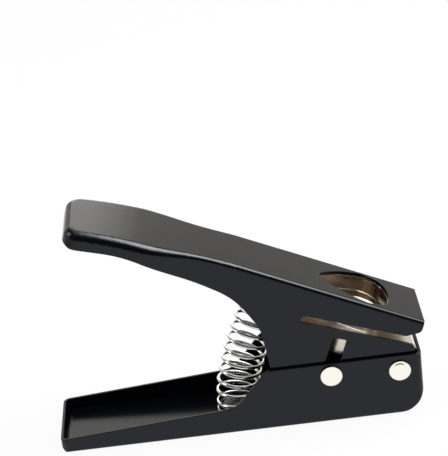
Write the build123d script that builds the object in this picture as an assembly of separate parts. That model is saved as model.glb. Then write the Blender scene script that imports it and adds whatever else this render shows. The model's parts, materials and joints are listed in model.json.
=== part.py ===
"""Hand punch for guitar picks: a sheet steel base, a sprung lever and a pick-shaped punch and die.

The origin is the centre of the base's underside. +X runs towards the jaw, -X towards the handles,
+Y to the far side and +Z up. Millimetres and degrees throughout.

The lever's pieces are drawn in a frame of their own: its origin is the pivot, its Z runs along the
die's axis and its X along the slit that takes the plastic sheet, positive towards the jaw.
"""
import math
import os

from build123d import *

# Base tray
base_length = 159.7
base_sheet = 1.2
wall_above_pivot = 7.0
heel_wall_height = 6.7
grip_wall_height = 12.3
wall_rise_foot = 62.0
wall_rise_top = 48.0
wall_foot_radius = 10.0
wall_shoulder_radius = 4.5
base_front_radius = 12.3
base_heel_radius = 3.5
base_bend_inside = 0.3
base_corner_radius = 2.8

# Pivot and punch pin
pivot_from_front = 9.9
pivot_height = 21.7
punch_pin_behind = 29.65
punch_pin_rise = 1.4
shank_radius = 3.2
punch_pin_radius = 2.2
head_radius = 4.75
head_height = 1.0
head_edge = 0.3
formed_head_radius = 4.4
formed_head_height = 1.4
formed_head_edge = 0.8
running_gap = 0.1
seat_gap = 0.05
washer_radius = 6.2
washer_thickness = 0.3
sleeve_wall = 1.6

# Lever
rest_tilt = 20.2
lever_sheet = 1.5
lever_front = 4.55
lever_rear = 154.0
lever_top = 24.45
top_fall = 5.53
top_edge_radius = 2.0
flare_length = 41.0
flare_from_rear = 74.0
flare_fall = 2.4
flare_shares = (0, 0.15, 0.3, 0.45, 0.6, 0.75, 0.88)
swell_from_share = 0.29
grip_swell = 4.6
heel_taper = 1.8
grip_edge_radius = 3.8
grip_corner_radius = 7.2
droop_length = 36.0
droop_radius = 202.0
heel_setback = 3.0
heel_depth = 7.3
grip_depth = 6.6
grip_depth_from_rear = 25.5
throat_depth = 14.7
throat_at = 78.0
cheek_turn_depth = 25.5
cheek_turn_at = 63.0
cheek_foot_at = 53.0
cheek_foot = 15.4
cheek_keel_at = 24.0
heel_radius = 4.2
grip_underside_radius = 60.0
throat_radius = 35.0
cheek_turn_radius = 25.0
cheek_foot_radius = 4.0
cheek_keel_radius = 10.0
cheek_nose_radius = 7.7

# Slit for the plastic sheet
slit_floor = 12.3
slit_gap = 3.3
stop_margin = 7.05
slit_end_shares = (0.85, 0.1)
lip_start = 1.5
lip_angle = 28.0
upper_lip_radius = 2.6
lower_lip_radius = 4.0

# Pick, punch and die
pick_length = 30.2
pick_width = 26.2
pick_tip_radius = 3.6
pick_corner_radius = 8.4
pick_back_radius = 26.0
pick_side_radius = 40.0
die_behind = 26.0
die_side_wall = 1.9
die_gap = 0.05
relief_step = 0.6
ledge_depth = 7.9
ledge_flat = 0.1
window_margin = 0.1
rim_chamfer = 0.3
guide_thickness = 4.6
guide_nose_radius = 4.4
wall_face_gap = 0.4
block_side_gap = 0.02
block_edge_spare = 0.1
punch_height = 14.0
tang_length = 14.0
tang_width = 11.0
tang_drop = 5.4
pin_play = 0.2
slot_side_gap = 0.3
slot_corner = 0.5
slot_spare = 3.15
closing_angle = 23.0

# Fasteners of the die set
lug_length = 8.7
screw_radius = 1.5
screw_head_radius = 2.75
screw_head_height = 1.8
screw_socket_radius = 1.25
screw_socket_depth = 1.0
screw_reach = 6.0
screw_behind_stop = 5.7
screw_from_cheek = 3.1
dowel_radius = 1.5
dowel_edge = 0.3
dowel_behind_stop = 2.3
dowel_from_screw = 4.0
dowel_reach = 4.5

# Return spring and its seats
spring_lean_back = 10.6
spring_behind_lug = 3.5
spring_outer_radius = 10.0
wire_radius = 0.8
spring_turns = 15.5
end_turns = 1.25
end_pitch = 2.4
spring_relief_gap = 1.2
seat_radius = 7.7
seat_height = 4.0
seat_edge = 1.2

overrun = 5.0

# Values that follow from the sizes above
pivot_x = base_length / 2 - pivot_from_front
jaw_wall_height = pivot_height + wall_above_pivot
punch_pin_height = pivot_height + punch_pin_rise
lever_place = Location((pivot_x, 0, pivot_height), (0, rest_tilt, 0))
lever_width = pick_width + 2 * (die_side_wall + lever_sheet)
base_width = lever_width + 2 * (washer_thickness + 2 * seat_gap + base_sheet)
cheek_inside = lever_width / 2 - lever_sheet
base_side_radius = base_sheet + base_bend_inside
block_edge_radius = top_edge_radius - lever_sheet + block_edge_spare
grip_half_width = lever_width / 2 + grip_swell
grip_heel_half_width = grip_half_width - heel_taper
droop_start = lever_rear - droop_length
flare_start = lever_rear - flare_from_rear
grip_depth_at = lever_rear - grip_depth_from_rear
slit_ceiling = slit_floor + slit_gap
slit_depth = die_behind + pick_length / 2 + stop_margin
screw_behind = slit_depth + screw_behind_stop
screw_aside = cheek_inside - screw_from_cheek
dowel_behind = slit_depth + dowel_behind_stop
dowel_aside = screw_aside - dowel_from_screw
spring_top_behind = slit_depth + lug_length + spring_behind_lug
spring_behind = spring_top_behind + spring_lean_back
tilt = math.radians(rest_tilt)
fall = math.radians(top_fall)


def to_lever_frame(behind, height):
    """Turn a place behind the pivot and above it into the lever's own frame."""
    x = -behind * math.cos(tilt) - height * math.sin(tilt)
    z = -behind * math.sin(tilt) + height * math.cos(tilt)
    return x, z


pin_x, pin_z = to_lever_frame(punch_pin_behind, punch_pin_height - pivot_height)
pin_arc = math.hypot(pin_x, pin_z)
pin_rest_angle = math.degrees(math.atan2(pin_z, pin_x)) % 360
pin_closed_angle = pin_rest_angle - closing_angle
punch_stroke = pin_arc * math.sin(math.radians(pin_closed_angle)) - pin_z
pin_back = pin_arc if pin_closed_angle < 180 else -pin_x
pin_middle = (pin_x - pin_back) / 2
pin_sway = abs(pin_x + pin_back)


def prism(points, radii, half_width):
    """Extrude a side outline both ways from the middle plane."""
    line = FilletPolyline(*points, radius=radii, close=True)
    return extrude(Plane.XZ * make_face(line), half_width, both=True)


def post(radius, x, low, high, y=0):
    """Round bar along Z between two heights."""
    return Pos(x, y, low) * extrude(Circle(radius), high - low)


def cross_bar(radius, x, z, low, high):
    """Round bar along Y between two widths."""
    bar = extrude(Circle(radius), high - low)
    return Location((x, low, z), (-90, 0, 0)) * bar


def top_at(behind):
    """Height of the straight part of the lever's top, measured behind the pivot."""
    return lever_top + behind * math.tan(fall)


def droop_at(behind):
    """Height of the lever's top where it falls along the flare and then curves down."""
    fallen = max(behind - flare_start, 0) * math.tan(math.radians(flare_fall))
    past = max(behind - droop_start, 0)
    return top_at(behind) - fallen - (past ** 2) / (2 * droop_radius)


# Base
def tray_block(inset):
    """Tray's outer block, or with an inset the space inside it."""
    rear, front = -base_length / 2 + inset, base_length / 2 - inset
    half = base_width / 2 - inset
    top = jaw_wall_height + overrun
    side = prism(
        [(rear, inset), (front, inset), (front, top), (rear, top)],
        [base_heel_radius - inset, base_front_radius - inset, 0, 0],
        half,
    )
    plan = RectangleRounded(front - rear, 2 * half, base_corner_radius - inset)
    section = FilletPolyline(
        (-half, inset), (half, inset), (half, top), (-half, top),
        radius=[base_side_radius - inset, base_side_radius - inset, 0, 0],
        close=True,
    )
    across = Plane.YZ.offset(rear) * make_face(section)
    return side & extrude(plan, top) & extrude(across, front - rear)


def base_channel():
    """Formed steel tray: low round the hand, high round the jaw."""
    tray = tray_block(0) - tray_block(base_sheet)
    rear, front = -base_length / 2, base_length / 2
    high = jaw_wall_height + 2 * overrun
    above = prism(
        [
            (rear - overrun, heel_wall_height),
            (rear, heel_wall_height),
            (pivot_x - wall_rise_foot - pivot_from_front, grip_wall_height),
            (pivot_x - wall_rise_top - pivot_from_front, jaw_wall_height),
            (front + overrun, jaw_wall_height),
            (front + overrun, high),
            (rear - overrun, high),
        ],
        [0, 0, wall_foot_radius, wall_shoulder_radius, 0, 0, 0],
        base_width,
    )
    tray -= above
    pivot = (shank_radius, pivot_x, pivot_height)
    punch_pin = (punch_pin_radius, pivot_x - punch_pin_behind, punch_pin_height)
    for radius, x, z in (pivot, punch_pin):
        tray -= cross_bar(radius + seat_gap, x, z, -base_width, base_width)
    return tray


def headed_pin(radius, x, z):
    """Rivet across the base: flat polished head on the near side, formed head on the far side."""
    half = base_width / 2
    shank = cross_bar(radius, x, z, -half - head_height / 2, half + formed_head_height / 2)
    head = cross_bar(head_radius, x, z, -half - head_height, -half)
    head = fillet(head.edges().filter_by(GeomType.CIRCLE).sort_by(Axis.Y)[0], head_edge)
    formed = cross_bar(formed_head_radius, x, z, half, half + formed_head_height)
    formed = fillet(formed.edges().filter_by(GeomType.CIRCLE).sort_by(Axis.Y)[-1], formed_head_edge)
    return shank + head + formed


def pivot_washers():
    """Two thin washers that centre the lever between the base's walls."""
    rings = []
    for side in (-1, 1):
        low = side * (lever_width / 2 + seat_gap + washer_thickness / 2) - washer_thickness / 2
        ring = cross_bar(washer_radius, pivot_x, pivot_height, low, low + washer_thickness)
        hole = cross_bar(shank_radius + running_gap, pivot_x, pivot_height, -base_width, base_width)
        rings.append(ring - hole)
    return Compound(children=rings)


# Lever
def lever_section(behind, half, radius, height):
    """Upside-down channel outline across the lever."""
    low = -lever_top
    line = FilletPolyline(
        (-half, low), (half, low), (half, height), (-half, height),
        radius=[0, 0, radius, radius],
        close=True,
    )
    return Plane.YZ.offset(-behind) * make_face(line)


def jaw_part(inset):
    """Straight front part of the lever's block."""
    start = lever_section(
        flare_start, lever_width / 2 - inset, top_edge_radius - inset, top_at(flare_start) - inset
    )
    run = flare_start + lever_front + (overrun if inset else 0)
    slope = Vector(math.cos(fall), 0, -math.sin(fall))
    return extrude(start, run / math.cos(fall), dir=slope)


def flare_part(inset, grip):
    """Part where the lever widens from the jaw to the grip, on whose front face it ends."""
    sections = []
    for share in flare_shares:
        past = max(share - swell_from_share, 0) / (1 - swell_from_share)
        ease = past * past * (3 - 2 * past)
        behind = flare_start + share * flare_length
        half = lever_width / 2 + ease * (grip_half_width - lever_width / 2)
        radius = top_edge_radius + ease * (grip_edge_radius - top_edge_radius)
        sections.append(lever_section(behind, half - inset, radius - inset, droop_at(behind) - inset))
    return loft(sections + [grip.faces().sort_by(Axis.X)[-1]])


def grip_part(inset):
    """Rear part of the lever's block, with its top curving down and its end closed."""
    front = flare_start + flare_length
    rear = lever_rear - inset
    middle = (front + lever_rear) / 2
    top = ThreePointArc(
        (-front, droop_at(front) - inset),
        (-middle, droop_at(middle) - inset),
        (-rear, droop_at(rear) - inset),
    )
    low = -lever_top
    rest = Polyline((-rear, droop_at(rear) - inset), (-rear, low), (-front, low),
                    (-front, droop_at(front) - inset))
    side = extrude(Plane.XZ * make_face(top + rest), grip_half_width, both=True)
    half, heel = grip_half_width - inset, grip_heel_half_width - inset
    plan = FilletPolyline(
        (-front, -half), (-front, half), (-rear, heel), (-rear, -heel),
        radius=[0, 0, grip_corner_radius - inset, grip_corner_radius - inset],
        close=True,
    )
    block = side & Pos(0, 0, low) * extrude(make_face(plan), lever_rear)
    high = droop_at(rear) - lever_sheet - overrun
    rim = [
        edge for edge in block.edges()
        if edge.center().Z > high and abs(edge.center().X + front) > seat_gap
    ]
    return fillet(rim, grip_edge_radius - inset)


def lever_block(inset):
    """Whole outer block of the lever, or with an inset the space inside it."""
    grip = grip_part(inset)
    return jaw_part(inset) + flare_part(inset, grip) + grip


def nose_corner():
    """Corner whose rounding is a circle about the pivot, from the keel round to the front edge."""
    reach = math.hypot(cheek_keel_at, cheek_foot)
    keel = math.atan2(-cheek_foot, -cheek_keel_at) + math.acos(cheek_nose_radius / reach)
    half = (tilt - keel) / 2
    middle = keel + half
    far = cheek_nose_radius / math.cos(half)
    return far * math.cos(middle), far * math.sin(middle)


def cheek_outline():
    """Side outline of the lever: jaw, slit, nose round the pivot, throat and grip."""
    lip_rise = (lever_front + lip_start) * math.tan(math.radians(lip_angle))
    lower_front = (cheek_nose_radius - slit_floor * math.sin(tilt)) / math.cos(tilt)
    end_above, end_below = [slit_gap * share for share in slit_end_shares]
    corners = [
        ((lever_front, lever_top + overrun), 0),
        ((lever_front, slit_ceiling + lip_rise), upper_lip_radius),
        ((-lip_start, slit_ceiling), 0),
        ((-slit_depth, slit_ceiling), end_above),
        ((-slit_depth, slit_floor), end_below),
        ((lower_front, slit_floor), lower_lip_radius),
        (nose_corner(), cheek_nose_radius),
        ((-cheek_keel_at, -cheek_foot), cheek_keel_radius),
        ((-cheek_foot_at, -cheek_foot), cheek_foot_radius),
        ((-cheek_turn_at, top_at(cheek_turn_at) - cheek_turn_depth), cheek_turn_radius),
        ((-throat_at, top_at(throat_at) - throat_depth), throat_radius),
        ((-grip_depth_at, droop_at(grip_depth_at) - grip_depth), grip_underside_radius),
        ((heel_setback - lever_rear, droop_at(lever_rear) - heel_depth), heel_radius),
        ((-lever_rear - overrun, droop_at(lever_rear) - heel_depth + heel_setback), 0),
        ((-lever_rear - overrun, top_at(lever_rear) + overrun), 0),
    ]
    points = [corner[0] for corner in corners]
    return prism(points, [corner[1] for corner in corners], grip_half_width + overrun)


def pin_slot():
    """Straight slot along the die's axis that lets the lever swing past the punch pin."""
    low = pin_z - punch_pin_radius - pin_play
    high = pin_z + punch_stroke + punch_pin_radius + slot_spare
    width = pin_sway + 2 * (punch_pin_radius + slot_side_gap)
    slot = Pos(pin_middle, 0, (low + high) / 2) * Box(width, 2 * lever_width, high - low)
    return fillet(slot.edges().filter_by(Axis.Y), slot_corner)


def lever_channel():
    """Formed steel lever: an upside-down channel with a closed, rounded grip."""
    shell = (lever_block(0) - lever_block(lever_sheet)) & cheek_outline()
    shell -= pin_slot()
    shell -= cross_bar(shank_radius + running_gap, 0, 0, -lever_width, lever_width)
    window = extrude(pick_face(relief_step + window_margin), lever_top)
    return shell - Pos(-die_behind, 0, slit_ceiling) * window


def pivot_sleeve():
    """Tube between the lever's cheeks that turns on the pivot."""
    bore = shank_radius + running_gap
    end = cheek_inside - block_side_gap
    return cross_bar(bore + sleeve_wall, 0, 0, -end, end) - cross_bar(bore, 0, 0, -end, end)


# Pick-shaped outline
def pick_face(grow):
    """Rounded triangle of the pick, tip towards the grip, with every radius grown alike."""
    half_length, half_width = pick_length / 2, pick_width / 2
    tip = Vector(-half_length + pick_tip_radius, 0)
    back = Vector(half_length - pick_back_radius, 0)
    corner_y = half_width - pick_corner_radius
    back_reach = pick_back_radius - pick_corner_radius
    corner = Vector(back.X + math.sqrt(back_reach ** 2 - corner_y ** 2), corner_y)
    to_tip, to_corner = pick_side_radius - pick_tip_radius, pick_side_radius - pick_corner_radius
    span = corner - tip
    along = (to_tip ** 2 - to_corner ** 2 + span.length ** 2) / (2 * span.length)
    away = math.sqrt(to_tip ** 2 - along ** 2)
    unit = span.normalized()
    side = tip + unit * along + Vector(unit.Y, -unit.X) * away
    tip_side = tip + (tip - side).normalized() * (pick_tip_radius + grow)
    side_corner = corner + (corner - side).normalized() * (pick_corner_radius + grow)
    corner_back = corner + (corner - back).normalized() * (pick_corner_radius + grow)
    side_middle = side + ((tip_side + side_corner) / 2 - side).normalized() * (pick_side_radius + grow)
    corner_middle = corner + ((side_corner + corner_back) / 2 - corner).normalized() * (
        pick_corner_radius + grow)
    upper = [(tip_side, side_middle, side_corner), (side_corner, corner_middle, corner_back)]
    arcs = []
    for sign in (1, -1):
        for run in upper:
            arcs.append(ThreePointArc(*[(point.X, sign * point.Y) for point in run]))
    arcs.append(ThreePointArc(
        (tip_side.X, tip_side.Y), (-half_length - grow, 0), (tip_side.X, -tip_side.Y)))
    arcs.append(ThreePointArc(
        (corner_back.X, corner_back.Y), (half_length + grow, 0), (corner_back.X, -corner_back.Y)))
    return make_face(arcs)


# Die set
def set_screws_and_dowels():
    """Places of the screws and dowels that hold the die set together."""
    screws = [(-screw_behind, side * screw_aside) for side in (-1, 1)]
    dowels = [(-dowel_behind, side * dowel_aside) for side in (-1, 1)]
    return screws, dowels


def drill(block, low, high):
    """Drill the die set's screw and dowel holes through one of its blocks."""
    screws, dowels = set_screws_and_dowels()
    for x, y in screws:
        block -= post(screw_radius + seat_gap, x, low, high, y)
    for x, y in dowels:
        block -= post(dowel_radius + seat_gap, x, low, high, y)
    return block


def spring_relief():
    """Round relief at the rear of the die set that leaves room for the spring."""
    return post(spring_outer_radius + spring_relief_gap, -spring_top_behind, -lever_top, 2 * lever_top)


def bore_above(grow, depth):
    """Pick-shaped column whose floor is level with the lever's top, at a depth below it."""
    rear = slit_depth + lug_length
    above = prism(
        [
            (lever_front, top_at(-lever_front) - depth), (lever_front, 2 * lever_top),
            (-rear, 2 * lever_top), (-rear, top_at(rear) - depth),
        ],
        [0, 0, 0, 0],
        lever_width,
    )
    return Pos(-die_behind, 0, 0) * extrude(pick_face(grow), 2 * lever_top) & above


def bore_relief():
    """Wider bore above the die's cutting land, down to a bevelled ledge."""
    bevel = relief_step - die_gap - ledge_flat
    low = bore_above(die_gap, ledge_depth + bevel).faces().sort_by(Axis.Z)[0]
    high = bore_above(die_gap + bevel, ledge_depth).faces().sort_by(Axis.Z)[0]
    return bore_above(relief_step, ledge_depth) + loft([low, high], ruled=True)


def die_block():
    """Upper die: the pick's bore under the window, its underside the slit's ceiling."""
    half = cheek_inside - block_side_gap
    rear = slit_depth + lug_length
    front = lever_front - lever_sheet
    under = lever_sheet / math.cos(fall) + block_side_gap
    rise = (front + lip_start) * math.tan(math.radians(lip_angle))
    block = prism(
        [
            (front, top_at(-front) - under),
            (front, slit_ceiling + rise),
            (-lip_start, slit_ceiling),
            (-rear, slit_ceiling),
            (-rear, top_at(rear) - under),
        ],
        [0, lever_sheet, 0, 0, 0],
        half,
    )
    long_edges = [
        edge for edge in block.edges()
        if abs(edge.center().Y) > half - seat_gap and edge.center().Z > lever_top - under
        and edge.length > rear / 2
    ]
    block = fillet(long_edges, block_edge_radius)
    bore = Pos(-die_behind, 0, 0) * extrude(pick_face(die_gap), 2 * lever_top)
    block = block - bore - bore_relief() - spring_relief()
    for x, y in set_screws_and_dowels()[0]:
        block -= post(screw_radius + seat_gap, x, slit_ceiling, slit_ceiling + screw_reach, y)
    for x, y in set_screws_and_dowels()[1]:
        block -= post(dowel_radius + seat_gap, x, slit_ceiling, slit_ceiling + dowel_reach, y)
    rim = [
        edge for edge in block.edges()
        if abs(edge.center().X + die_behind) < pick_length and edge.center().Z > top_at(0) - under
        and abs(edge.center().Y) < pick_width / 2 + relief_step + rim_chamfer
        and edge.geom_type != GeomType.LINE
    ]
    return chamfer(rim, rim_chamfer)


def guide_block():
    """Lower block: guides the punch, and its top is the slit's floor."""
    half = cheek_inside - block_side_gap
    rear = slit_depth + lug_length
    bottom = slit_floor - guide_thickness
    block = prism(
        [(-rear, bottom), (slit_floor, bottom), (slit_floor, slit_floor), (-rear, slit_floor)],
        [0, 0, 0, 0],
        half,
    )
    wall_face = pivot_from_front - base_sheet - wall_face_gap
    keep = prism(
        [(-2 * rear, -rear), (wall_face, -rear), (wall_face, rear), (-2 * rear, rear)],
        [0, 0, 0, 0],
        base_width,
    )
    block &= Location((0, 0, 0), (0, -rest_tilt, 0)) * keep
    block = drill(block, bottom - overrun, slit_ceiling)
    for x, y in set_screws_and_dowels()[0]:
        block -= post(screw_head_radius + seat_gap, x, bottom - overrun, bottom + screw_head_height, y)
    bore = Pos(-die_behind, 0, 0) * extrude(pick_face(die_gap), 2 * lever_top)
    nose = [
        edge for edge in block.edges().filter_by(Axis.Y)
        if edge.center().X > 0 and edge.center().Z > slit_floor - seat_gap
    ]
    block = fillet(nose, guide_nose_radius)
    return block - bore - spring_relief()


def stock_stop():
    """Plate behind the slit that sets its gap and stops the plastic sheet."""
    half = cheek_inside - block_side_gap
    plate = prism(
        [
            (-slit_depth - lug_length, slit_floor), (-slit_depth, slit_floor),
            (-slit_depth, slit_ceiling), (-slit_depth - lug_length, slit_ceiling),
        ],
        [0, 0, 0, 0],
        half,
    )
    return drill(plate, 0, lever_top) - spring_relief()


def die_screws():
    """Two socket screws, from below, through the guide block and the stop into the die block."""
    bottom = slit_floor - guide_thickness
    screws = []
    for x, y in set_screws_and_dowels()[0]:
        screw = post(screw_radius, x, bottom, slit_ceiling + screw_reach - seat_gap, y)
        screw += post(screw_head_radius, x, bottom, bottom + screw_head_height - seat_gap, y)
        socket = extrude(RegularPolygon(screw_socket_radius, 6), screw_socket_depth)
        screws.append(screw - Pos(x, y, bottom) * socket)
    return Compound(children=screws)


def dowel_pins():
    """Two plain pins that line the guide block up with the die block."""
    low, high = slit_floor - guide_thickness, slit_ceiling + dowel_reach
    pins = []
    for x, y in set_screws_and_dowels()[1]:
        pin = post(dowel_radius, x, low + 2 * seat_gap, high - 2 * seat_gap, y)
        pins.append(chamfer(pin.edges().filter_by(GeomType.CIRCLE), dowel_edge))
    return Compound(children=pins)


def punch():
    """Pick-shaped punch, its face level with the slit's floor, on a tang held by the punch pin."""
    top = slit_floor
    foot = top - punch_height
    column = Pos(-die_behind, 0, foot) * extrude(pick_face(-die_gap), punch_height)
    low = pin_z - tang_drop
    tang = Pos(pin_middle, 0, (low + foot) / 2) * Box(tang_length, tang_width, foot - low)
    tang = fillet(tang.edges().filter_by(Axis.Y).group_by(Axis.Z)[0], tang_drop / 2)
    eye_height = 2 * (punch_pin_radius + pin_play)
    eye = SlotOverall(eye_height + pin_sway + pin_play, eye_height)
    eye = extrude(Plane.XZ * eye, tang_width, both=True)
    return column + tang - Pos(pin_middle, 0, pin_z) * eye


# Return spring
def spring_ends():
    """Middle of the spring's two ends, in the part's frame, and the way its axis points there."""
    foot = Vector(pivot_x - spring_behind, 0, base_sheet)
    head = (lever_place * spring_top_place()).position
    lean = tilt + fall
    return foot, Vector(0, 0, 1), head, Vector(math.sin(lean), 0, math.cos(lean))


def spring_top_place():
    """Where the spring's top seat sits under the lever, in the lever's frame."""
    height = top_at(spring_top_behind) - lever_sheet / math.cos(fall)
    return Location((-spring_top_behind, 0, height), (0, top_fall, 0))


def spring_points(per_turn):
    """Points of the wire's middle line and their directions: a helix round a gently bent axis."""
    foot, foot_way, head, head_way = spring_ends()
    foot = foot + foot_way * (wire_radius + seat_gap)
    head = head - head_way * (wire_radius + seat_gap)
    reach = (head - foot).length
    coil_radius = spring_outer_radius - wire_radius

    def axis_at(share):
        a, b = 3 * share ** 2 - 2 * share ** 3, share - 2 * share ** 2 + share ** 3
        c = share ** 3 - share ** 2
        place = foot * (1 - a) + head * a + foot_way * (b * reach) + head_way * (c * reach)
        da, db = 6 * share - 6 * share ** 2, 1 - 4 * share + 3 * share ** 2
        dc = 3 * share ** 2 - 2 * share
        way = (head - foot) * da + foot_way * (db * reach) + head_way * (dc * reach)
        return place, way.normalized()

    middle_pitch = (reach - 2 * end_turns * end_pitch) / (spring_turns - 2 * end_turns)

    def share_at(turn):
        if turn < end_turns:
            return turn * end_pitch / reach
        if turn > spring_turns - end_turns:
            return 1 - (spring_turns - turn) * end_pitch / reach
        return (end_turns * end_pitch + (turn - end_turns) * middle_pitch) / reach

    def place_at(turn):
        place, way = axis_at(share_at(turn))
        outward = Vector(way.Z, 0, -way.X)
        angle = 2 * math.pi * turn
        return place + outward * (coil_radius * math.cos(angle)) + Vector(0, 1, 0) * (
            coil_radius * math.sin(angle))

    count = round(spring_turns * per_turn)
    step = 1 / (per_turn * per_turn * per_turn)
    places, ways = [], []
    for index in range(count + 1):
        turn = index / per_turn
        places.append(place_at(turn))
        ways.append((place_at(turn + step) - place_at(turn - step)).normalized())
    return places, ways


def biarc(start, start_way, end, end_way):
    """Two arcs, tangent to each other and to the given directions, between two points."""
    span, both = end - start, start_way + end_way
    bend = 2 * (1 - start_way.dot(end_way))
    reach = span.dot(both)
    arm = (math.sqrt(reach ** 2 + bend * span.dot(span)) - reach) / bend
    first, second = start + start_way * arm, end - end_way * arm
    joint = (first + second) / 2
    way = (second - first).normalized()
    return [Edge.make_tangent_arc(start, start_way, joint), Edge.make_tangent_arc(joint, way, end)]


def return_spring():
    """Compression spring wound as one wire between the base's floor and the lever."""
    places, ways = spring_points(4)
    arcs = []
    for index in range(len(places) - 1):
        arcs += biarc(places[index], ways[index], places[index + 1], ways[index + 1])
    wire = Wire(arcs)
    start = Plane(origin=places[0], z_dir=ways[0])
    return sweep(start * Circle(wire_radius), path=wire)


def spring_gap():
    """Least gap between one turn of the spring and the next."""
    per_turn = 36
    places, _ = spring_points(per_turn)
    least = math.inf
    for index, place in enumerate(places):
        for other in places[index + per_turn // 2:index + 3 * per_turn // 2]:
            least = min(least, (place - other).length)
    return least - 2 * wire_radius


def spring_seat():
    """Stud, welded to its sheet, that keeps one end of the spring in place."""
    stud = post(seat_radius, 0, 0, seat_height)
    return fillet(stud.edges().filter_by(GeomType.CIRCLE).sort_by(Axis.Z)[-1], seat_edge)


def place_all():
    """Every node of the part in the row's frame."""
    on_pivot = headed_pin(shank_radius, pivot_x, pivot_height)
    on_punch = headed_pin(punch_pin_radius, pivot_x - punch_pin_behind, punch_pin_height)
    lower_seat = Pos(pivot_x - spring_behind, 0, base_sheet) * spring_seat()
    upper_turn = Location((0, 0, 0), (180, 0, 0))
    upper_seat = lever_place * spring_top_place() * upper_turn * spring_seat()
    return {
        "base_channel": base_channel(),
        "pivot_rivet": on_pivot,
        "punch_pin": on_punch,
        "pivot_washers": pivot_washers(),
        "lower_spring_seat": lower_seat,
        "return_spring": return_spring(),
        "lever_channel": lever_place * lever_channel(),
        "pivot_sleeve": lever_place * pivot_sleeve(),
        "die_block": lever_place * die_block(),
        "guide_block": lever_place * guide_block(),
        "stock_stop": lever_place * stock_stop(),
        "die_screws": lever_place * die_screws(),
        "dowel_pins": lever_place * dowel_pins(),
        "upper_spring_seat": upper_seat,
        "punch": lever_place * punch(),
    }


def main():
    """Write every node, and print the values that the record needs."""
    os.makedirs("parts", exist_ok=True)
    for name, shape in place_all().items():
        export_step(shape, os.path.join("parts", name + ".step"))
    print("least gap between the spring's turns", round(spring_gap(), 3))
    print("punch stroke", round(punch_stroke, 3))
    print("stroke for each radian", round(punch_stroke / math.radians(closing_angle), 3))
    print("pivot at", round(pivot_x, 3), round(pivot_height, 3))


main()
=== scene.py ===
# %% [markdown]
# # A hand punch that cuts picks
#
# The real tool is two formed steel sheets, a low tray and a sprung lever, both coated black, with a
# bright plated punch and die between them. The imported model already holds every piece at its real size,
# so this lesson gives the pieces their finish: rounded sheet edges, a wound spring, turned rivet heads,
# and a studio that such shiny and black things need.

# %% Load the frame
import math

import bpy
from mathutils import Matrix, Vector
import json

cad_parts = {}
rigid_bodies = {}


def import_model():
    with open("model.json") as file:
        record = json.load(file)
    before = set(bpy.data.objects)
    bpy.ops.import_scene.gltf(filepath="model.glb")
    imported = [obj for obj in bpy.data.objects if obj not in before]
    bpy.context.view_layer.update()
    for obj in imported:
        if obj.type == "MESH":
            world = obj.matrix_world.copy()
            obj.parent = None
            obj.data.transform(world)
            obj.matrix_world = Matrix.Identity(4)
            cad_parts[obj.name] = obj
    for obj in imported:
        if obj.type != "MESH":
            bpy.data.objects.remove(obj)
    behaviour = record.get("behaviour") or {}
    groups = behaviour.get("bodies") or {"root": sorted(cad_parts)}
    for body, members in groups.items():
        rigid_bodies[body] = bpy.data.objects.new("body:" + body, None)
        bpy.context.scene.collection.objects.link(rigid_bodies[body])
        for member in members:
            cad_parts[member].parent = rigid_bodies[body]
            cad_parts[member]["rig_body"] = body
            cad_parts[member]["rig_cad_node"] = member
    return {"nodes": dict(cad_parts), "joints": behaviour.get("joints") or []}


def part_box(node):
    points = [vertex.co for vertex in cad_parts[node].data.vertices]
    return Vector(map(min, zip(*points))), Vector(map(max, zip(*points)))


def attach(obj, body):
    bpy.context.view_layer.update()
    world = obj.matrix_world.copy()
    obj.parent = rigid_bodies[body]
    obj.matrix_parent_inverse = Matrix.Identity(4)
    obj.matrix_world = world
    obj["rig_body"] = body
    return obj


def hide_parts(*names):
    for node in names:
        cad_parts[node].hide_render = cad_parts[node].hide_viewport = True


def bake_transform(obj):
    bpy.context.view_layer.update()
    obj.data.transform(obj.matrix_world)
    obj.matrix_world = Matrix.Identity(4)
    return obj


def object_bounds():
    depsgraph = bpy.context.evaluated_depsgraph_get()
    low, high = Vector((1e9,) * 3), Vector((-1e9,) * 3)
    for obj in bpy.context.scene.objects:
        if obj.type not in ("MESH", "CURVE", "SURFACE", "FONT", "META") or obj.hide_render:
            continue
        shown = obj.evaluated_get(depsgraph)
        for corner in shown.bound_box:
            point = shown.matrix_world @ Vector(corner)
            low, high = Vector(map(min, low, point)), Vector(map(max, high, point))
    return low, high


MM = 0.001
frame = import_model()
nodes = frame["nodes"]
joints = {joint["name"]: joint for joint in frame["joints"]}
cad_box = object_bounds()
print("nodes in the frame:", sorted(nodes))

# %% [markdown]
# ## The camera
#
# The photo was taken from a little above the near side with a long lens, and the picture leans a few
# degrees, so the tool's long side climbs to the right. A camera turns best in this order: roll about its
# own line of sight, then down from the horizon, then round to the side.

# %% Camera
photo_width, photo_height = 448, 456
focal_pixels = 1757.8
sensor_width = 36.0
behind_pivot = 62.3 * MM
in_front = 676.8 * MM
above_base = 404.1 * MM
look_down = math.radians(24.87)
look_left = math.radians(0.47)
roll_right = math.radians(7.09)
nearest_seen = 10 * MM

pivot_x = joints["lever_hinge"]["pos_m"][0]
bpy.ops.object.camera_add(location=(pivot_x - behind_pivot, -in_front, cad_box[0].z + above_base))
camera = bpy.context.object
turn = Matrix.Rotation(look_left, 4, "Z") @ Matrix.Rotation(math.pi / 2 - look_down, 4, "X")
turn = turn @ Matrix.Rotation(-roll_right, 4, "Z")
camera.rotation_euler = turn.to_euler()
camera.data.sensor_width = sensor_width
camera.data.lens = focal_pixels * sensor_width / max(photo_width, photo_height)
camera.data.clip_start = nearest_seen
bpy.context.scene.camera = camera
print("lens:", round(camera.data.lens, 1), "mm")

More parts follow.
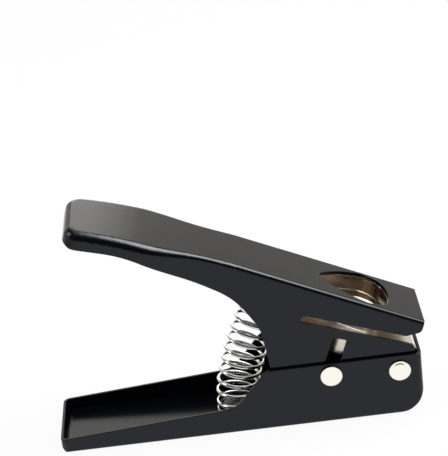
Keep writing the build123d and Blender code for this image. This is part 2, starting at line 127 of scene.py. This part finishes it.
# %% [markdown]
# ## Shader maths that reads as Python
#
# A node tree is a formula drawn with boxes. Written as code it is easier to read as the formula itself,
# so one small class stands for a value in the tree, and adding or multiplying two of them adds the Math
# node that does it. Any other node comes from one method of the finish.

# %% Sockets and finishes
noise_detail = 3.0


class Value:
    """A number that changes over a surface: one output socket of a node tree."""

    def __init__(self, finish, socket):
        self.finish = finish
        self.socket = socket

    def maths(self, operation, first, second):
        return self.finish.add("ShaderNodeMath", {"operation": operation}, {0: first, 1: second})

    def __add__(self, other):
        return self.maths("ADD", self, other)

    def __radd__(self, other):
        return self.maths("ADD", other, self)

    def __sub__(self, other):
        return self.maths("SUBTRACT", self, other)

    def __rsub__(self, other):
        return self.maths("SUBTRACT", other, self)

    def __mul__(self, other):
        return self.maths("MULTIPLY", self, other)

    def __rmul__(self, other):
        return self.maths("MULTIPLY", other, self)


class Tree:
    """A node tree that nodes are added to."""

    def __init__(self, tree):
        self.tree = tree

    def add(self, kind, settings=None, sockets=None, output=0):
        """Add a node: its settings first, then the values or links of its sockets."""
        node = self.tree.nodes.new(kind)
        for setting, value in (settings or {}).items():
            setattr(node, setting, value)
        for socket, value in (sockets or {}).items():
            if isinstance(value, Value):
                self.tree.links.new(value.socket, node.inputs[socket])
            else:
                node.inputs[socket].default_value = value
        return Value(self, node.outputs[output])

    def rays(self, kind):
        """1 for the kind of ray that asks, such as Camera or Glossy, and 0 for the others."""
        return self.add("ShaderNodeLightPath", output="Is " + kind + " Ray")

    def ramp(self, value, start, end, low, high):
        """A smooth step from low to high, as a value goes from start to end."""
        return self.add(
            "ShaderNodeMapRange", {"interpolation_type": "SMOOTHSTEP"},
            {"Value": value, "From Min": start, "From Max": end, "To Min": low, "To Max": high},
        )

    def between(self, low, high, factor):
        """A colour between two others."""
        return self.add(
            "ShaderNodeMix", {"data_type": "RGBA"}, {"Factor": factor, 6: low, 7: high}, output=2
        )


class Finish(Tree):
    """A material with one shader, whose plain numbers are set on the shader's own sockets."""

    def __init__(self, name, **numbers):
        self.material = bpy.data.materials.new(name)
        self.material.use_nodes = True
        super().__init__(self.material.node_tree)
        self.shader = self.tree.nodes["Principled BSDF"]
        for socket, number in numbers.items():
            self.shader.inputs[socket.replace("_", " ")].default_value = number

    def feed(self, socket, value):
        """Let a value that changes over the surface drive one of the shader's sockets."""
        self.tree.links.new(value.socket, self.shader.inputs[socket])

    def place(self):
        """Where a point lies in the tool's own frame, in metres."""
        return self.add("ShaderNodeTexCoord", output="Object")

    def noise(self, size, stretch=(1, 1, 1), turned=(0, 0, 0)):
        """Soft noise whose grain is about size metres, stretched along one way if asked."""
        scale = tuple(1 / (size * way) for way in stretch)
        mapped = self.add(
            "ShaderNodeMapping", {}, {"Vector": self.place(), "Rotation": turned, "Scale": scale}
        )
        sockets = {"Vector": mapped, "Scale": 1.0, "Detail": noise_detail}
        return self.add("ShaderNodeTexNoise", {}, sockets)

    def relief(self, height, distance):
        """Bump the surface by a height that is given as a share of distance, in metres."""
        self.feed("Normal", self.add("ShaderNodeBump", {}, {"Height": height, "Distance": distance}))


# %% [markdown]
# ## Black coat
#
# The sheets are powder coated: a deep black with a satin gloss. Baked powder never lies quite flat. It
# keeps a faint orange peel about a millimetre across, and its gloss varies a little from spot to spot.
# The black itself sends back almost no light, so all that shows is the gloss, and a cool tint of that
# gloss keeps the coat from turning brown under the warm light of the studio.

# %% Black coat
peel_size, cloud_size, speck_size = 1.3 * MM, 14 * MM, 0.25 * MM
peel_height = 0.012 * MM


def black_coat():
    """Powder coat: nearly black all over, with a gloss that varies a little."""
    coat = Finish("black_coat", IOR=1.38, Specular_IOR_Level=0.5, Specular_Tint=(0.94, 0.98, 1.06, 1))
    peel, cloud, speck = coat.noise(peel_size), coat.noise(cloud_size), coat.noise(speck_size)
    coat.feed("Base Color", coat.between((0.001, 0.0015, 0.003, 1), (0.002, 0.003, 0.005, 1), cloud))
    coat.feed("Roughness", 0.15 + 0.05 * cloud + 0.04 * speck)
    coat.relief(peel + 0.25 * speck, peel_height)
    return coat.material


finishes = {"black_coat": black_coat()}
print("orange peel:", round(peel_size / MM, 2), "mm across")

# %% [markdown]
# ## Bright plating
#
# The punch, the die and the guide are ground steel with a nickel plate, which is a warm silver. The
# grinding runs along the die's axis, and it shows through the plate as fine streaks that blur a
# reflection across them, so the noise is stretched along that axis. The three share one plate, but the
# die's bore gets a browner, darker pair of colours as painted shade and the guide a paler pair as painted
# light, so each of the three has its own pair of colours, and one function makes them all.

# %% Plated finishes
slide_axis = Vector(joints["punch_slide"]["axis"])
die_tilt = math.atan2(slide_axis.x, slide_axis.z)
streak_size, streak_stretch, streak_height = 0.35 * MM, 50, 0.006 * MM
plate_cloud_size = 6 * MM


def plated(name, low, high):
    """Ground steel under a plate whose colour lies between two others."""
    plate = Finish(name, Metallic=1.0)
    streaks = plate.noise(streak_size, stretch=(1, 1, streak_stretch), turned=(0, -die_tilt, 0))
    cloud = plate.noise(plate_cloud_size)
    plate.feed("Roughness", 0.12 + 0.1 * streaks + 0.08 * cloud)
    plate.relief(streaks, streak_height)
    plate.feed("Base Color", plate.between((*low, 1), (*high, 1), cloud))
    return plate.material


finishes["nickel_plate"] = plated("nickel_plate", (0.5, 0.43, 0.36), (0.8, 0.74, 0.66))
# The die's darker pair is painted shade for its bore, and the guide's paler pair is painted light.
finishes["ground_die_painted_shade"] = plated("ground_die_painted_shade", (0.26, 0.2, 0.14), (0.42, 0.35, 0.27))
finishes["guide_plate_painted_light"] = plated("guide_plate_painted_light", (0.8, 0.76, 0.7), (0.95, 0.92, 0.87))
print("the die leans", round(math.degrees(die_tilt), 1), "degrees")

# %% [markdown]
# ## Polished rivets
#
# A rivet's head is polished on a flat wheel to a bright disc, and a thin line of painted shade goes round
# its rim. Two finishes on one piece would need a border between faces. It is simpler to ask which way the
# surface points: the face looks along Y, and the rim looks away from it.

# %% Rivet finish
scuff_size, scuff_stretch, scuff_height = 0.6 * MM, 6, 0.004 * MM
rim_below, face_above = 0.55, 0.85
# The dark rim colour is painted shade round each head.
rim_painted_shade = (0.06, 0.06, 0.06, 1)


def polished_rivet():
    """Bright where the surface looks along the rivet, and painted shade round the rim."""
    plate = Finish("polished_rivet", Metallic=1.0)
    scuff = plate.noise(scuff_size, stretch=(1, scuff_stretch, 1))
    polished = plate.between((0.94, 0.91, 0.82, 1), (1.0, 0.98, 0.9, 1), scuff)
    points = plate.add("ShaderNodeTexCoord", output="Normal")
    across = plate.add("ShaderNodeSeparateXYZ", {}, {0: points}, output="Y")
    # Painted shade: the rim turns dark where the normal points away from Y.
    clear_of_rim_shade = plate.ramp(across.maths("ABSOLUTE", across, 0.0), rim_below, face_above, 0.0, 1.0)
    plate.feed("Base Color", plate.between(rim_painted_shade, polished, clear_of_rim_shade))
    plate.feed("Roughness", 0.1 + 0.08 * scuff)
    plate.relief(scuff, scuff_height)
    return plate.material


finishes["polished_rivet"] = polished_rivet()
print("a surface is a rivet's face where its normal's Y is over", face_above)

# %% [markdown]
# ## Wire, zinc and black oxide
#
# The spring is bright chromed wire, the pieces inside wear satin zinc, and the hardened screws are
# blackened; the stop at the slit's end is given the same dark finish. These metals differ in colour, gloss
# and grain, but each varies in one way only, so one function makes all three.

# %% Metals with one fine grain
def even_metal(name, low, high, grain_size, grain_height, roughness, grain_roughness):
    """Metal whose colour, roughness and relief all follow one fine grain."""
    metal = Finish(name, Metallic=1.0)
    grain = metal.noise(grain_size)
    metal.feed("Base Color", metal.between((*low, 1), (*high, 1), grain))
    metal.feed("Roughness", roughness + grain_roughness * grain)
    metal.relief(grain, grain_height)
    return metal.material


finishes["chromed_wire"] = even_metal(
    "chromed_wire", (0.78, 0.79, 0.8), (0.9, 0.9, 0.9), grain_size=0.4 * MM, grain_height=0.003 * MM,
    roughness=0.05, grain_roughness=0.08,
)
finishes["zinc_steel"] = even_metal(
    "zinc_steel", (0.5, 0.51, 0.52), (0.68, 0.68, 0.67), grain_size=0.8 * MM, grain_height=0.004 * MM,
    roughness=0.28, grain_roughness=0.14,
)
finishes["dark_screw"] = even_metal(
    "dark_screw", (0.05, 0.05, 0.055), (0.12, 0.12, 0.125), grain_size=0.5 * MM,
    grain_height=0.004 * MM, roughness=0.3, grain_roughness=0.15,
)
print("finishes:", sorted(finishes))

# %% [markdown]
# ## Helpers for working by hand
#
# Operators act on whatever is selected, so each step starts by selecting one piece alone. A finished
# piece gets its finish, rides on the body that carries it, and hides the node that it stands for.

# %% Select, dress and seat a piece
def only(piece):
    """Select one object and make it the active one."""
    bpy.ops.object.select_all(action="DESELECT")
    piece.select_set(True)
    bpy.context.view_layer.objects.active = piece


def apply_all(piece):
    """Apply every modifier of a piece."""
    only(piece)
    for modifier in list(piece.modifiers):
        bpy.ops.object.modifier_apply(modifier=modifier.name)


def dress(piece, finish):
    """Give a piece one of the finishes."""
    piece.data.materials.clear()
    piece.data.materials.append(finishes[finish])


def stand_for(piece, node, body, finish):
    """Seat a finished piece on its body, in place of a node."""
    dress(piece, finish)
    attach(piece, body)
    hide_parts(node)
    print(piece.name, "has", len(piece.data.polygons), "faces")


# %% [markdown]
# ## Sheets and blocks with rounded edges
#
# A punched sheet has a sharp edge in the model, but coat and plate round every real edge, and that thin
# round is what catches the light. The node's mesh is loose triangles, so a copy is merged and its flat
# triangles are joined into whole faces. Then every edge that turns sharply gets a small bevel, and the
# large faces keep their own flat normals, so that the shading breaks only on the round.

# %% Rounded copies
weld_distance = 0.002 * MM
flat_within = math.radians(0.4)
sharp_from = math.radians(38)
edge_segments = 3


def rounded_copy(node, name, edge_radius):
    """A new piece with a node's shape and its sharp edges rounded."""
    piece = nodes[node].copy()
    piece.data = piece.data.copy()
    piece.name = name
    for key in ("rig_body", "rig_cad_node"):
        del piece[key]
    piece.parent = None
    bpy.context.scene.collection.objects.link(piece)
    only(piece)
    bpy.ops.object.mode_set(mode="EDIT")
    bpy.ops.mesh.select_all(action="SELECT")
    bpy.ops.mesh.remove_doubles(threshold=weld_distance)
    bpy.ops.mesh.dissolve_limited(angle_limit=flat_within)
    bpy.ops.object.mode_set(mode="OBJECT")
    bpy.ops.mesh.customdata_custom_splitnormals_clear()
    bevel = piece.modifiers.new("edge", "BEVEL")
    bevel.width = edge_radius
    bevel.segments = edge_segments
    bevel.limit_method = "ANGLE"
    bevel.angle_limit = sharp_from
    bevel.use_clamp_overlap = False
    bevel.loop_slide = False
    bpy.ops.object.shade_smooth_by_angle(angle=sharp_from)
    weighted = piece.modifiers.new("flat_faces", "WEIGHTED_NORMAL")
    weighted.keep_sharp = True
    apply_all(piece)
    return piece


# %% [markdown]
# ## The coated sheets and the plated die set
#
# The base and the lever are the two black sheets. The die, the guide and the punch are ground blocks
# whose edges are only just broken, so their round is half of the coat's. Each copy rides on the body that
# carries the real piece: only the punch has a body of its own, because it slides as the lever swings.

# %% Sheets and die set
coat_edge = 0.22 * MM
block_edge = 0.12 * MM
stand_for(rounded_copy("base_channel", "coated_base", coat_edge), "base_channel", "base", "black_coat")
stand_for(rounded_copy("lever_channel", "coated_lever", coat_edge), "lever_channel", "lever", "black_coat")
# The die wears painted shade and the guide painted light, over the same nickel plate.
die = rounded_copy("die_block", "plated_die", block_edge)
stand_for(die, "die_block", "lever", "ground_die_painted_shade")
guide = rounded_copy("guide_block", "plated_guide", block_edge)
stand_for(guide, "guide_block", "lever", "guide_plate_painted_light")
# The stop gets the screws' dark finish, which keeps the slit's closed end dark.
stand_for(rounded_copy("stock_stop", "plated_stop", block_edge), "stock_stop", "lever", "dark_screw")
stand_for(rounded_copy("punch", "plated_punch", block_edge), "punch", "punch", "nickel_plate")

# %% [markdown]
# ## The return spring
#
# The spring is one wire wound round an axis that starts upright on the base and leans over with the
# lever. Its end turns lie close together and the turns between are open. It is easiest to write as a
# curve: each point of the wire is a point of the axis plus a turn round it. The tube is then made a mesh.

# %% Spring
wire_radius = 0.8 * MM
spring_turns = 15.5
end_turns = 1.25
end_pitch = 2.4 * MM
head_lean = math.radians(25.73)
seat_gap = 0.05 * MM
points_per_turn = 40
wire_sides = 3


def seat_faces():
    """Where the spring's ends sit: the middle of each seat's welded face, and the way it points."""
    low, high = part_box("lower_spring_seat")
    foot = Vector(((low.x + high.x) / 2, 0, low.z))
    way = Vector((math.sin(head_lean), 0, math.cos(head_lean)))
    side = Vector((way.z, 0, -way.x))
    points = [vertex.co for vertex in nodes["upper_spring_seat"].data.vertices]
    across = [point.dot(side) for point in points]
    head = way * max(point.dot(way) for point in points) + side * (min(across) + max(across)) / 2
    return foot, Vector((0, 0, 1)), head, way


def wound_points():
    """Points of the wire's middle line, from the foot up to the head."""
    foot, foot_way, head, head_way = seat_faces()
    low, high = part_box("return_spring")
    coil_radius = (high.y - low.y) / 2 - wire_radius
    foot = foot + foot_way * (wire_radius + seat_gap)
    head = head - head_way * (wire_radius + seat_gap)
    reach = (head - foot).length
    open_pitch = (reach - 2 * end_turns * end_pitch) / (spring_turns - 2 * end_turns)
    points = []
    for index in range(round(spring_turns * points_per_turn) + 1):
        turned = index / points_per_turn
        from_foot = min(turned, end_turns)
        from_head = max(turned - (spring_turns - end_turns), 0)
        between = turned - from_foot - from_head
        share = ((from_foot + from_head) * end_pitch + between * open_pitch) / reach
        to_head = 3 * share ** 2 - 2 * share ** 3
        foot_pull, head_pull = share - 2 * share ** 2 + share ** 3, share ** 3 - share ** 2
        axis = (
            foot * (1 - to_head) + head * to_head
            + foot_way * (foot_pull * reach) + head_way * (head_pull * reach)
        )
        slope = (head - foot) * (6 * share - 6 * share ** 2)
        slope += foot_way * ((1 - 4 * share + 3 * share ** 2) * reach)
        slope += head_way * ((3 * share ** 2 - 2 * share) * reach)
        slope.normalize()
        outward = Vector((slope.z, 0, -slope.x))
        angle = 2 * math.pi * turned
        spoke = outward * math.cos(angle) + Vector((0, math.sin(angle), 0))
        points.append(axis + coil_radius * spoke)
    return points, foot, head


def wind_spring():
    """Wind the wire as a curve and make it a mesh."""
    points, foot, head = wound_points()
    curve = bpy.data.curves.new("wound_spring", "CURVE")
    curve.dimensions = "3D"
    curve.bevel_depth = wire_radius
    curve.bevel_resolution = wire_sides
    curve.use_fill_caps = True
    line = curve.splines.new("POLY")
    line.points.add(len(points) - 1)
    for place, point in zip(line.points, points):
        place.co = (*point, 1)
    spring = bpy.data.objects.new("wound_spring", curve)
    bpy.context.scene.collection.objects.link(spring)
    only(spring)
    bpy.ops.object.convert(target="MESH")
    spring = bpy.context.object
    bpy.ops.object.shade_smooth_by_angle(angle=sharp_from)
    dress(spring, "chromed_wire")
    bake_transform(spring)
    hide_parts("return_spring")
    print("spring:", spring_turns, "turns,", len(spring.data.polygons), "faces")


wind_spring()

# %% [markdown]
# ## Turned rivets
#
# A rivet is turned from bar: a flat polished head with a soft edge on the near side, a plain shank, and
# on the far side a head that a press has rolled over. It can be drawn like work on a lathe: start with a
# small disc at one end, and extrude its rim from station to station, each with its own radius.

# %% Turn a piece on a line across the tool
turned_sides = 72


def turned(name, x, z, stations):
    """A piece turned about a line along Y: each station is a place on the line and a radius."""
    along, radius = stations[0]
    bpy.ops.object.select_all(action="DESELECT")
    bpy.ops.mesh.primitive_circle_add(
        vertices=turned_sides, radius=radius, fill_type="TRIFAN",
        location=(x, along, z), rotation=(math.pi / 2, 0, 0),
    )
    piece = bpy.context.object
    piece.name = name
    piece.data.name = name
    bpy.ops.object.transform_apply(location=True, rotation=True, scale=True)
    bpy.ops.object.mode_set(mode="EDIT")
    bpy.ops.mesh.select_mode(type="EDGE")
    for next_along, next_radius in stations[1:]:
        bpy.ops.mesh.select_all(action="DESELECT")
        bpy.ops.mesh.select_non_manifold()
        bpy.ops.mesh.extrude_edges_move(
            TRANSFORM_OT_translate={"value": (0, next_along - along, 0)}
        )
        grow = next_radius / radius
        bpy.ops.transform.resize(value=(grow, 1, grow), center_override=(x, next_along, z))
        along, radius = next_along, next_radius
    bpy.ops.mesh.select_all(action="DESELECT")
    bpy.ops.mesh.select_non_manifold()
    bpy.ops.mesh.edge_face_add()
    bpy.ops.mesh.poke()
    bpy.ops.mesh.select_all(action="SELECT")
    bpy.ops.mesh.normals_make_consistent(inside=False)
    bpy.ops.object.mode_set(mode="OBJECT")
    bpy.ops.object.shade_smooth_by_angle(angle=sharp_from)
    return piece


# %% [markdown]
# ## Two rivets, one shape
#
# Both rivets have the same head, and the base's walls are clamped between it and the rolled one. The
# pivot's face also carries a shallow turned step, which shows as a thin dark arc at its top. The far end
# is narrower and more domed, as a press leaves it.

# %% Rivets
head_radius = 4.75 * MM
head_height = 1.0 * MM
formed_radius = 4.4 * MM
formed_height = 1.4 * MM
formed_edge = 0.8 * MM
formed_crown = 0.1 * MM
edge_steps = 6
head_edge = 0.22 * MM
face_crown = 0.03 * MM
crown_shares = (0.08, 0.4, 0.7, 0.9)
formed_middle_share, formed_tip_share = 0.5, 0.1
pivot_shank, pin_shank = 3.2 * MM, 2.2 * MM
step_inside, step_outside = 3.3 * MM, 3.85 * MM
step_depth, step_lip = 0.18 * MM, 0.01 * MM
step_top_round, step_foot_round = 0.03 * MM, 0.05 * MM


def quarter_round(place, radius, edge, way):
    """Stations of a rounded edge: it ends at the given radius, edge further along the line."""
    stations = []
    for step in range(edge_steps + 1):
        angle = step / edge_steps * math.pi / 2
        inwards = edge * (1 - math.sin(angle))
        stations.append((place + way * edge * (1 - math.cos(angle)), radius - inwards))
    return stations


def rivet(name, node, shank_radius, step=()):
    """A rivet across the base: a nearly flat polished face, with or without a cone step round it."""
    low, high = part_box(node)
    x, z = (low.x + high.x) / 2, (low.z + high.z) / 2
    near, far = low.y, high.y
    flat = head_radius - head_edge
    face = step[0][1] if step else flat
    stations = [(near + face_crown * share ** 2, face * share) for share in crown_shares]
    stations += [(near + depth, radius) for depth, radius in step]
    depth = step[-1][0] if step else face_crown
    stations += quarter_round(near + depth, head_radius, head_edge, 1)
    stations += [(near + head_height, head_radius), (near + head_height, shank_radius)]
    stations += [(far - formed_height, shank_radius), (far - formed_height, formed_radius)]
    stations += reversed(quarter_round(far - formed_crown, formed_radius, formed_edge, -1))
    middle = far - formed_crown * formed_middle_share
    stations += [(middle, formed_radius * formed_middle_share), (far, formed_radius * formed_tip_share)]
    stand_for(turned(name, x, z, stations), node, "base", "polished_rivet")


pivot_step = (
    (face_crown, step_inside),
    (face_crown + step_lip, step_inside + step_top_round),
    (face_crown + step_depth, step_outside - step_foot_round),
    (face_crown + step_depth + step_lip, step_outside),
)
rivet("turned_pivot", "pivot_rivet", pivot_shank, pivot_step)
rivet("turned_punch_pin", "punch_pin", pin_shank)

# %% [markdown]
# ## Small hidden pieces
#
# Sleeve, washers, seats, screws and dowels hardly show, and their shape is right as it is, so they only
# get their real finish: satin zinc, or the black oxide of hardened screws.

# %% Dress the nodes that stay
stay = {
    "pivot_sleeve": "zinc_steel",
    "pivot_washers": "zinc_steel",
    "lower_spring_seat": "black_coat",
    "upper_spring_seat": "black_coat",
    "dowel_pins": "zinc_steel",
    "die_screws": "dark_screw",
}
for node, finish in stay.items():
    for slot in nodes[node].material_slots:
        slot.link = "OBJECT"
        slot.material = finishes[finish]
print("dressed as they are:", sorted(stay))

# %% [markdown]
# ## The studio
#
# Black gloss and bright plate show their surroundings more than themselves. The floor is a wide white
# sheet of paper. The camera sees it as plain white with the tool's shadow on it, and in reflections it
# fades away from the tool. A dark patch to the right of the tool stands for a black card laid there.

# %% Floor
floor_size = 6.0
floor_gap = 0.05 * MM
paper_colour = (0.9, 0.9, 0.9, 1)
lit_share = 0.93
pool_inside, pool_outside = 0.35, 1.2
pool_edge_light = 0.45
dark_patch, patch_radius, patch_soft = (0.24, 0.0, 0.0), 0.09, 0.13
patch_light = 0.12


def add_floor():
    """A wide white floor that keeps a soft shadow and looks white to the camera and in reflections."""
    bpy.ops.object.select_all(action="DESELECT")
    bpy.ops.mesh.primitive_plane_add(size=floor_size, location=(0, 0, cad_box[0].z - floor_gap))
    floor = bpy.context.object
    floor.name = "studio_floor"
    paper = Finish("paper", Base_Color=paper_colour, Roughness=0.9, Specular_IOR_Level=0.0)
    away = paper.add(
        "ShaderNodeVectorMath", {"operation": "LENGTH"}, {0: paper.place()}, output="Value"
    )
    pool = paper.ramp(away, pool_inside, pool_outside, 1.0, pool_edge_light)
    off_patch = paper.add(
        "ShaderNodeVectorMath", {"operation": "DISTANCE"}, {0: paper.place(), 1: dark_patch},
        output="Value",
    )
    pool = pool * paper.ramp(off_patch, patch_radius, patch_soft, patch_light, 1.0)
    seen, mirrored, through = paper.rays("Camera"), paper.rays("Glossy"), paper.rays("Transmission")
    light = seen + through + mirrored * pool
    glow = paper.add("ShaderNodeEmission", {}, {"Strength": light})
    share = lit_share * (seen + mirrored + through)
    whole = Value(paper, paper.shader.outputs[0])
    mixed = paper.add("ShaderNodeMixShader", {}, {0: share, 1: whole, 2: glow})
    paper.tree.links.new(mixed.socket, paper.tree.nodes["Material Output"].inputs["Surface"])
    floor.data.materials.append(paper.material)
    print("floor:", floor_size, "m wide, with its dark patch", dark_patch[0], "m to the right")


add_floor()

# %% [markdown]
# ## What the gloss sees
#
# A photographer hangs cards and lamps round a glossy thing until its faces read well. Here the world
# does that: it is plain white to the camera and an even fill for the light, and only reflections see the
# cards. In front, where the photographer stands, it is dark, and that draws the edges of the rivets and
# the wire. Behind stands a pale card that dims upwards, so the lever's top is grey and not white. A
# brighter card to the left lights the rear of the grip, and a bright one overhead, to the right, draws
# the thin line along the sheets' round edges. The light has a little warmth, like the photo's.

# %% World
fill_strength = 0.5
dark_in_front = 0.06
front_ends, backdrop_starts = -0.5, -0.12
backdrop_light, left_light = 0.72, 1.75
left_starts, left_full, left_fades, left_ends = 0.27, 0.13, -0.12, -0.3
dim_from, dim_to, dim_share = 0.38, 0.5, 0.2
left_top, left_share = 0.58, 0.65
overhead_starts, overhead_full, overhead_light = 0.62, 0.74, 8.0
overhead_left, overhead_right = 0.15, 0.5
white, warm_white = (1, 1, 1, 1), (1, 0.96, 0.89, 1)


def add_world():
    """White to the camera, an even soft fill, and for reflections dark in front and graded behind."""
    world = bpy.data.worlds.new("studio")
    world.use_nodes = True
    world.cycles.sampling_method = "NONE"
    bpy.context.scene.world = world
    sky = Tree(world.node_tree)
    way = sky.add("ShaderNodeTexCoord", output="Generated")
    right, back, up = [sky.add("ShaderNodeSeparateXYZ", {}, {0: way}, output=axis) for axis in "XYZ"]
    backdrop = sky.ramp(up, dim_from, dim_to, backdrop_light, backdrop_light * dim_share)
    left = sky.ramp(right, left_full, left_starts, left_light, 0)
    left = left * sky.ramp(right, left_ends, left_fades, 0, 1)
    backdrop = backdrop + left * sky.ramp(up, dim_from, left_top, 1, left_share)
    overhead = sky.ramp(up, overhead_starts, overhead_full, 0, overhead_light)
    backdrop = backdrop + overhead * sky.ramp(right, overhead_left, overhead_right, 0, 1)
    behind = sky.ramp(back, front_ends, backdrop_starts, 0, 1)
    shown = dark_in_front + (backdrop - dark_in_front) * behind
    seen, mirrored, through = sky.rays("Camera"), sky.rays("Glossy"), sky.rays("Transmission")
    rest = 1 - seen - mirrored - through
    strength = seen + through + mirrored * shown + rest * fill_strength
    background = sky.tree.nodes["Background"]
    sky.tree.links.new(strength.socket, background.inputs["Strength"])
    sky.tree.links.new(sky.between(white, warm_white, mirrored).socket, background.inputs["Color"])
    print("world: fill", fill_strength, "and a backdrop of", backdrop_light, "in reflections")


add_world()

# %% [markdown]
# ## Two soft lamps
#
# Two soft boxes add to the even fill: a large one overhead, and a small and weaker one to the left. A
# wide lamp close by gives a shadow with a soft edge, like the faint one under the real tool.

# %% Lamps
overhead_place, overhead_size, overhead_watts = (0.5, 0.12, 1.05), (0.8, 0.5), 9.0
left_place, left_size, left_watts = (-0.9, 0.1, 0.8), (0.4, 0.5), 2.5


def soft_box(name, place, aim, size, watts):
    """A square lamp that points at a place."""
    bpy.ops.object.light_add(type="AREA", location=place)
    lamp = bpy.context.object
    lamp.name = name
    lamp.data.shape = "RECTANGLE"
    lamp.data.size, lamp.data.size_y = size
    lamp.data.energy = watts
    lamp.rotation_euler = (Vector(aim) - Vector(place)).to_track_quat("-Z", "Y").to_euler()
    print(name, "gives", watts, "W")


middle = (cad_box[0] + cad_box[1]) / 2
soft_box("overhead_box", overhead_place, middle, overhead_size, overhead_watts)
soft_box("left_box", left_place, middle, left_size, left_watts)

# %% [markdown]
# ## Colours and sizes
#
# The standard view shows each colour about as it is written, which keeps the plate and the coat honest.
# Last, the box of the imported model is printed.

# %% Colours as they are written
bpy.context.scene.view_settings.view_transform = "Standard"
print("view:", bpy.context.scene.view_settings.view_transform)

print("frame box:", [[round(v, 5) for v in corner] for corner in cad_box])
